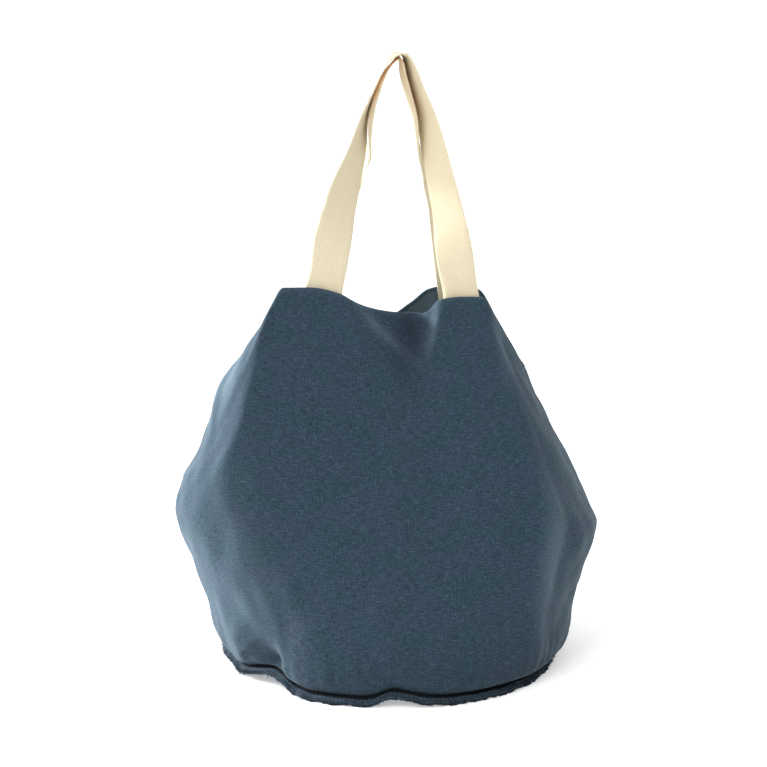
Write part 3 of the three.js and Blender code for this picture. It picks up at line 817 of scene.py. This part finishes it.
# Rows of the base: out under the disc, the border and the flange, and back over them
def baseRows():
    over = -bag["layerGap"] / 2
    angle = np.radians(turns)

    def flatRing(share, height):
        reach = (bag["baseDiameter"] / 2 - bag["borderWidth"]) * share
        return np.stack([reach * np.cos(angle), reach * np.sin(angle), height + 0 * angle], axis=-1)

    def border(wall):
        inner = flatRing(1.0, wall)
        outer = insideSeam(bag["clothWall"], seamLine(turns) + over - bag["clothWall"] + wall)
        for share in np.linspace(*clothMesh["borderShares"]):
            point = mix(inner, outer, share)
            point[:, 2] = mix(inner[:, 2], outer[:, 2], share ** clothMesh["borderCurve"])
            yield point

    def flange(share, height):
        return edgeRing(share, height, seeds["baseEdge"], clothMesh["underEdge"])

    rows = [flatRing(share, 0.0) for share in clothMesh["discShares"]]
    rows += list(border(0.0))
    rows += [flange(share, over - bag["clothWall"]) for share in clothMesh["underShares"]]
    rows += [flange(clothMesh["tipShare"], over - bag["clothWall"] / 2)]
    rows += [flange(share, over) for share in (0.95, 0.8, 0.6, 0.3, 0.0)]
    rows += list(border(bag["clothWall"]))[::-1]
    rows += [flatRing(share, bag["clothWall"]) for share in clothMesh["discShares"][::-1]]
    return np.array(rows)


def makeBase():
    points = baseRows()
    uv = points[..., :2].copy()
    radius = np.linalg.norm(uv, axis=-1)
    edgeStart, edgeEnd = (bag["baseDiameter"] / 2 + out for out in clothTone["baseEdge"])
    # Painted shade on the base's raw edge where it shows past the body's
    crease = clothTone["edge"] * smoothStep(radius, edgeStart, edgeEnd)
    base = layGrid("bag_base", points, uv, {"crease": crease})
    finishPiece(base, denimMaterial, "denim", "base")


makeBody()
makeBase()

# Handles

handle = {
    "rootSpread": 0.110,
    "rise": 0.190,
    "sewnLength": 0.036,
    "sewnGap": 0.0007,
    "blend": 0.034,
    "rows": 250,
    "sewnRows": 24,
    "strips": 72,
    "shadedTop": 0.17,  # free share on each side of the peak on whose inner face warm shade is painted
    "shadeFade": (0, 0.6),
    "shadedFaces": (-0.2, 0.5),  # from the edge without painted shade to the shaded one
    "deepestShade": 0.9,
    "peak": (0.49, 0.52),  # shares along the handle between which its right leg starts
}

archColumns = ("along", "across", "up", "back", "turn")
frontArch = {
    "columns": archColumns,
    "rows": [
        (0.0, -0.93, 0.025, -0.86, 0),
        (0.087, -0.815, 0.202, -0.72, 8),
        (0.153, -0.72, 0.336, -0.64, 29),
        (0.219, -0.595, 0.47, -0.56, 42),
        (0.286, -0.445, 0.603, -0.49, 61),
        (0.351, -0.344, 0.735, -0.42, 78),
        (0.418, -0.177, 0.868, -0.34, 88),
        (0.452, -0.065, 0.937, -0.29, 90),
        (0.481, 0.05, 0.985, -0.25, 93),
        (0.497, 0.16, 1.0, -0.23, 97),
        (0.511, 0.245, 0.985, -0.25, 103),
        (0.538, 0.305, 0.937, -0.29, 110),
        (0.571, 0.385, 0.868, -0.34, 115),
        (0.637, 0.555, 0.735, -0.42, 121),
        (0.702, 0.66, 0.603, -0.49, 131),
        (0.767, 0.765, 0.47, -0.56, 138),
        (0.833, 0.87, 0.336, -0.64, 145),
        (0.898, 0.945, 0.202, -0.72, 164),
        (1.0, 1.055, -0.01, -0.86, 180),
    ],
}
backArch = {
    "columns": archColumns,
    "rows": [
        (0.0, -0.965, 0.0, 0.86, 180),
        (0.087, -0.835, 0.2, 0.71, 166),
        (0.153, -0.727, 0.336, 0.57, 148),
        (0.219, -0.49, 0.47, 0.64, 118),
        (0.286, -0.267, 0.6, 0.3, 95),
        (0.351, -0.242, 0.733, -0.1, 84),
        (0.418, -0.124, 0.865, -0.14, 83),
        (0.452, -0.024, 0.929, -0.16, 85),
        (0.481, 0.092, 0.971, -0.18, 88),
        (0.497, 0.155, 0.984, -0.18, 91),
        (0.511, 0.187, 0.968, -0.18, 95),
        (0.538, 0.21, 0.92, -0.16, 99),
        (0.571, 0.258, 0.865, -0.14, 100),
        (0.637, 0.387, 0.733, -0.1, 96),
        (0.702, 0.445, 0.6, 0.14, 87),
        (0.767, 0.625, 0.47, 0.48, 61),
        (0.833, 0.825, 0.336, 0.57, 32),
        (0.898, 0.916, 0.2, 0.71, 14),
        (1.0, 1.0, -0.01, 0.86, 0),
    ],
}


# Points of a handle where it is sewn inside its wall; side is -1 in front, 1 behind
def sewnPoint(side, across, below, reach, lift=0.0):
    corner = bag["leftCorner"] if across < 0 else bag["rightCorner"]
    perDegree = corner * bag["mouthWidth"] / 2 / bag["cornerTurn"]
    frontTurn = 270
    turn = -side * (frontTurn + (across + reach) / perDegree)
    up = upBelowRim(turn, below)
    inset = bag["hemWall"] + handle["sewnGap"] + webbing["wall"] / 2 + lift + 0 * turn
    return clothPoint(turn, up) - clothNormal(turn, up) * inset[..., None]


def archPoint(arch, place):
    x = readTable(arch, "along", "across", place) * handle["rootSpread"] / 2
    y = readTable(arch, "along", "back", place) * bag["mouthDepth"] / 2
    z = bag["rimHeight"] + handle["rise"] * readTable(arch, "along", "up", place)
    return np.stack([x, y, z], axis=-1)


def freeRow(arch, place, reach):
    step = 0.004
    tangent = unit(archPoint(arch, place + step) - archPoint(arch, place - step))
    turn = np.radians(readTable(arch, "along", "turn", place))
    width = np.array([math.cos(turn), math.sin(turn), 0.0])
    width = unit(width - tangent * np.dot(width, tangent))
    return archPoint(arch, place) + width * reach[:, None]


# Middle surface of a handle, and the share along it of each row
def handleRows(arch, side):
    reach = webbing["width"] * np.linspace(-0.5, 0.5, handle["strips"] + 1)
    freeLength = 2 * math.hypot(handle["rise"], handle["rootSpread"] / 2)
    blend = handle["blend"] / freeLength
    depths = handle["sewnLength"] * np.linspace(1, 1 / handle["sewnRows"], handle["sewnRows"])
    across = column(arch, "across") * handle["rootSpread"] / 2
    leftRoot, rightRoot = across[0], across[-1]
    leftReach, rightReach = -side * reach, side * reach
    rows = [sewnPoint(side, leftRoot, below, leftReach) for below in depths]
    places = [-below / freeLength for below in depths]
    for place in np.linspace(0, 1, handle["rows"] + 1):
        row = freeRow(arch, place, reach)
        near = min(place, 1 - place)
        hold = 1 - smoothStep(near, 0, blend)
        if hold > 0:
            root, rootReach = (leftRoot, leftReach) if place < 0.5 else (rightRoot, rightReach)
            row = mix(row, sewnPoint(side, root, -near * freeLength, rootReach), hold)
        rows.append(row)
        places.append(place)
    rows += [sewnPoint(side, rightRoot, below, rightReach) for below in depths[::-1]]
    places += [1 + below / freeLength for below in depths[::-1]]
    return np.array(rows), np.array(places), reach, freeLength


# paleRight is how much less painted shade the right leg gets
def makeHandle(name, arch, side, node, paleRight):
    middle, places, reach, freeLength = handleRows(arch, side)
    along = np.gradient(middle, axis=0)
    across = np.gradient(middle, axis=1)
    normal = unit(np.cross(along, across))
    edge = np.abs(reach) / (webbing["width"] / 2)
    half = webbing["wall"] / 2
    thickness = half * np.sqrt(np.clip(1 - edge ** webbing["edgePower"], webbing["thinnest"], 1))
    ribs = webbing["ribHeight"] * (np.abs(np.cos(math.pi * reach / webbing["ribPitch"])) - 1)
    ribs = ribs * (edge < webbing["ribReach"])
    offset = (thickness + ribs)[None, :, None]
    top = middle + normal * offset
    bottom = middle - normal * offset
    points = np.concatenate([top, bottom[:, ::-1], top[:, :1]], axis=1)
    width = webbing["width"]
    across = np.concatenate([reach, reach[::-1] + 2 * width, [reach[0] + 4 * width]])
    uv = np.stack(np.broadcast_arrays(across[None, :], (places * freeLength)[:, None]), axis=-1)
    # Painted warm shade: inner faces near the peak, growing across the strap towards one edge
    fromPeak = np.abs(places - 0.5) / handle["shadedTop"]
    peakShade = smoothStep(1 - fromPeak, *handle["shadeFade"])[:, None]
    towardsBack = smoothStep(-side * reach / width, *handle["shadedFaces"])
    faces = np.concatenate([towardsBack, towardsBack[::-1], towardsBack[:1]])
    rightLeg = smoothStep(places, *handle["peak"])[:, None]
    paintedWarmShade = handle["deepestShade"] * peakShade * (1 - rightLeg * paleRight) * faces[None, :]
    strap = layGrid(name, points, uv, {"paintedWarmShade": paintedWarmShade})
    bpy.ops.object.mode_set(mode="EDIT")
    bpy.ops.mesh.select_all(action="DESELECT")
    bpy.ops.mesh.select_non_manifold()
    bpy.ops.mesh.edge_face_add()
    bpy.ops.object.mode_set(mode="OBJECT")
    finishPiece(strap, webbingMaterial, "webbing", node)


makeHandle("front_handle", frontArch, -1, "handle_front", 0.0)
makeHandle("back_handle", backArch, 1, "handle_back", 0.85)

# Stitches and frayed threads

thread = {
    "stitchPitch": 0.0032,
    "stitchLength": 0.0023,
    "stitchWidth": 0.0005,
    "humpHeight": 0.75,  # of a stitch, in its widths
    "humpSink": 0.3,
    "seamPlace": 0.5,  # share of the flange at which its stitch row runs
    "sides": 5,
    "steps": 5,
    "taper": 0.3,
    "frayCount": 1500,
    "frayLength": (0.0003, 0.0024),
    "frayRoot": 0.0014,  # how far inside the raw edge a frayed thread starts
    "frayWidth": 0.0003,
    "frayBend": 0.5,
    "frayRise": (-0.25, 0.4),  # middle and spread of a thread's slope
    "frayLayer": 0.6,  # share of the wall between the layers' middle and a thread's root
    "frayFan": 28,  # degrees
    "heavyShare": 0.22,  # share of the threads that gather at the lower left
    "heavyTurn": 212,
    "heavySpread": 7,
    "boxInset": 0.0025,  # from the strap's edges
    "boxEnd": 0.003,
    "boxStart": 0.1,  # of the first stitch along a line, as a share of the pitch
}


# Thin threads through rows of points, pointed at both ends and joined in one piece
def layStrands(name, paths, radius):
    steps = paths.shape[1]
    tangent = unit(np.gradient(paths, axis=1))
    aside = np.array([0.31, 0.52, 0.8])  # a direction that no thread takes
    first = unit(np.cross(tangent, aside))
    second = np.cross(tangent, first)
    taper = np.sin(np.linspace(0, math.pi, steps)) ** thread["taper"]
    taper[[0, -1]] = 0.0
    angle = np.linspace(0, 2 * math.pi, thread["sides"] + 1)
    ring = first[:, :, None] * np.cos(angle)[:, None] + second[:, :, None] * np.sin(angle)[:, None]
    points = paths[:, :, None] + radius * taper[None, :, None, None] * ring
    points = points.reshape(-1, len(angle), 3)
    strands = layGrid(name, points, np.zeros(points.shape[:2] + (2,)))
    bpy.ops.object.mode_set(mode="EDIT")
    bpy.ops.mesh.select_all(action="SELECT")
    bpy.ops.mesh.delete_loose()
    bpy.ops.object.mode_set(mode="OBJECT")
    return strands


# A stitch rises out of the cloth and sinks in again; share runs from 0 to 1 along it
def stitchHump(share):
    return thread["stitchWidth"] * (thread["humpHeight"] * np.sin(math.pi * share) - thread["humpSink"])


def makeSeamStitches():
    count = round(math.pi * bag["baseDiameter"] / thread["stitchPitch"])
    share = np.linspace(0, 1, thread["steps"])
    perDegree = math.pi * bag["baseDiameter"] / 360
    turn = np.arange(count)[:, None] * 360 / count + share[None, :] * thread["stitchLength"] / perDegree
    radius = seamRadius(turn) + bag["flangeWidth"] * thread["seamPlace"]
    middle = seamLine(turn) - bag["flangeDrop"] * thread["seamPlace"]
    middle = middle + flangeRipple(turn, thread["seamPlace"])
    face = bag["layerGap"] / 2 + bag["clothWall"]
    angle = np.radians(turn)
    rows = []
    for side in (1, -1):
        height = middle + side * (face + stitchHump(share)[None, :])
        rows.append(np.stack([radius * np.cos(angle), radius * np.sin(angle), height], axis=-1))
    stitches = layStrands("seam_stitches", np.concatenate(rows), thread["stitchWidth"] / 2)
    finishPiece(stitches, seamThread, "denim")


def makeFray():
    draw = np.random.default_rng(seeds["fray"])
    count = thread["frayCount"]
    turn = draw.uniform(0, 360, count)
    heavy = draw.uniform(0, 1, count) < thread["heavyShare"]
    gathered = wrap(thread["heavyTurn"] + draw.normal(0, thread["heavySpread"], count))
    turn = np.where(heavy, gathered, turn)
    length = draw.uniform(*thread["frayLength"], count)
    aim = np.radians(turn + draw.normal(0, thread["frayFan"], count))
    rise = draw.normal(*thread["frayRise"], count)
    layer = draw.choice([-1, 1], count)
    start = bag["flangeWidth"] - thread["frayRoot"]
    share = np.linspace(0, 1, thread["steps"])[None, :]
    radius = seamRadius(turn) + start
    root = np.radians(turn)
    middle = seamLine(turn) - bag["flangeDrop"] * start / bag["flangeWidth"]
    middle = middle + layer * bag["clothWall"] * thread["frayLayer"]
    curl = draw.normal(0, thread["frayBend"], count)[:, None] * share * share
    reach = (length[:, None] + thread["frayRoot"]) * share
    x = (radius * np.cos(root))[:, None] + reach * np.cos(aim[:, None] + curl)
    y = (radius * np.sin(root))[:, None] + reach * np.sin(aim[:, None] + curl)
    z = middle[:, None] + reach * rise[:, None]
    z = np.maximum(z, thread["frayWidth"])
    fray = layStrands("frayed_edge", np.stack([x, y, z], axis=-1), thread["frayWidth"] / 2)
    finishPiece(fray, frayThread, "denim")


# Stitches in a crossed box through each sewn end of a handle, on its inner face
def makeBoxStitches(name, arch, side):
    across = column(arch, "across") * handle["rootSpread"] / 2
    half = webbing["width"] / 2 - thread["boxInset"]
    low, high = handle["sewnLength"] - thread["boxEnd"], thread["boxEnd"]
    corners = [(-half, low), (half, low), (half, high), (-half, high), (-half, low)]
    lines = list(zip(corners[:-1], corners[1:])) + [(corners[0], corners[2]), (corners[1], corners[3])]
    share = np.linspace(0, 1, thread["steps"])
    rows = []
    for root in (across[0], across[-1]):
        for start, end in lines:
            count = round(math.dist(start, end) / thread["stitchPitch"])
            length = share * thread["stitchLength"] / thread["stitchPitch"]
            along = (np.arange(count)[:, None] + thread["boxStart"] + length[None, :]) / count
            reach = mix(start[0], end[0], along)
            below = mix(start[1], end[1], along)
            lift = webbing["wall"] / 2 + stitchHump(share)[None, :]
            rows.append(sewnPoint(side, root, below, reach, lift))
    stitches = layStrands(name, np.concatenate(rows), thread["stitchWidth"] / 2)
    finishPiece(stitches, strapThread, "webbing")


seamThread = makeThread("seamThread", fromScreen(96, 112, 124))
frayThread = makeThread("frayThread", fromScreen(40, 56, 70), 0.0)
strapThread = makeThread("strapThread", fromScreen(238, 226, 196))
makeSeamStitches()
makeFray()
makeBoxStitches("front_box_stitches", frontArch, -1)
makeBoxStitches("back_box_stitches", backArch, 1)

# Studio

studio = {
    "floorTone": (0.88, 0.88, 0.875, 1.0),
    "worldTone": (1.0, 1.0, 1.0, 1.0),
    "worldLeft": 0.62,  # strength of the surroundings' light from the left and from the right
    "worldRight": 0.1,
    "floorGlow": 0.4,
    "sweepFront": -4.0,
    "sweepBack": 6.0,
    "sweepHalfWidth": 5.0,
    "sweepHeight": 4.5,
    "sweepBend": 1.5,
    "sweepSegments": 16,
    "paperGrain": 3.0,
    "paperDark": 0.985,
}

lamps = [
    {
        "name": "leftSoftbox", "place": (-1.5, 0.4, 0.6), "aim": (0, 0, 0.12),
        "size": 0.6, "power": 4.4, "spread": 42,
    },
    {
        "name": "rightSoftbox", "place": (1.3, 1.5, 0.9), "aim": (0, 0, 0.25),
        "size": 0.8, "power": 3.0, "spread": 180,
    },
    {
        "name": "frontFill", "place": (-0.9, -1.7, 2.0), "aim": (0, 0, 0.3),
        "size": 0.9, "power": 23.0, "spread": 180,
    },
    {
        "name": "ceiling", "place": (-0.6, 1.8, 3.2), "aim": (-0.6, 1.8, 0),
        "size": 8.0, "power": 165.0, "spread": 180,
    },
]

# The camera stands where the photograph's did and looks along +Y and a little down
photoView = {
    "place": (-0.0037, -1.6, 0.5745),
    "lookHeight": 0.2275,
    "focalPixels": 1996.6,
    "imagePixels": 767,
    "sensor": 36.0,
}


def makeFloor():
    bpy.ops.mesh.primitive_plane_add(size=1, location=(0, 0, 0))
    floor = bpy.context.object
    floor.name = "studio_floor"
    middle = (studio["sweepFront"] + studio["sweepBack"]) / 2
    depth = studio["sweepBack"] - studio["sweepFront"]
    place = Matrix.Translation((0, middle, 0)) @ Matrix.Diagonal((2 * studio["sweepHalfWidth"], depth, 1, 1))
    floor.data.transform(place)
    bpy.ops.object.mode_set(mode="EDIT")
    bpy.ops.mesh.select_all(action="DESELECT")
    bpy.ops.object.mode_set(mode="OBJECT")
    for edge in floor.data.edges:
        ends = [floor.data.vertices[index].co.y for index in edge.vertices]
        edge.select = min(ends) > middle
    bpy.ops.object.mode_set(mode="EDIT")
    bpy.ops.mesh.select_mode(type="EDGE")
    bpy.ops.mesh.extrude_region_move(TRANSFORM_OT_translate={"value": (0, 0, studio["sweepHeight"])})
    bpy.ops.object.mode_set(mode="OBJECT")
    bend = floor.modifiers.new("sweep", "BEVEL")
    bend.width = studio["sweepBend"]
    bend.segments = studio["sweepSegments"]
    bend.limit_method = "ANGLE"
    bpy.ops.object.modifier_apply(modifier=bend.name)
    bpy.ops.object.shade_smooth()
    material, tree, shader = newMaterial("palePaper")
    place = addNode(tree, "ShaderNodeTexCoord").outputs["Object"]
    inputs = {"Vector": place, "Scale": studio["paperGrain"]}
    noise = addNode(tree, "ShaderNodeTexNoise", inputs).outputs["Fac"]
    tone = studio["floorTone"]
    setInputs(tree, shader, {
        "Base Color": mixColor(tree, noise, darker(tone, studio["paperDark"]), tone),
        "Roughness": 0.9,
        "Specular IOR Level": 0.1,
        "Emission Color": studio["worldTone"],
        "Emission Strength": studio["floorGlow"],
    })
    floor.data.materials.append(material)


def makeLights():
    world = bpy.data.worlds.new("studioWorld")
    bpy.context.scene.world = world
    world.use_nodes = True
    tree = world.node_tree
    direction = addNode(tree, "ShaderNodeTexCoord").outputs["Generated"]
    sideways = addNode(tree, "ShaderNodeSeparateXYZ", {0: direction}).outputs[0]
    strength = remap(tree, sideways, (-1.0, 1.0, studio["worldLeft"], studio["worldRight"]))
    setInputs(tree, tree.nodes["Background"], {"Color": studio["worldTone"], "Strength": strength})
    for lamp in lamps:
        bpy.ops.object.light_add(type="AREA", location=lamp["place"])
        light = bpy.context.object
        light.name = lamp["name"]
        aim = Vector(lamp["aim"]) - Vector(lamp["place"])
        light.rotation_euler = aim.to_track_quat("-Z", "Y").to_euler()
        light.data.size = lamp["size"]
        light.data.energy = lamp["power"]
        light.data.spread = math.radians(lamp["spread"])


def makeCamera():
    place = Vector(photoView["place"])
    drop = math.atan2(place.z - photoView["lookHeight"], -place.y)
    bpy.ops.object.camera_add(location=place, rotation=(math.pi / 2 - drop, 0, 0))
    camera = bpy.context.object
    camera.data.sensor_width = photoView["sensor"]
    camera.data.lens = photoView["focalPixels"] / photoView["imagePixels"] * photoView["sensor"]
    bpy.context.scene.camera = camera


makeFloor()
makeLights()
makeCamera()
bpy.context.scene.view_settings.view_transform = "Standard"
print("studio ready")
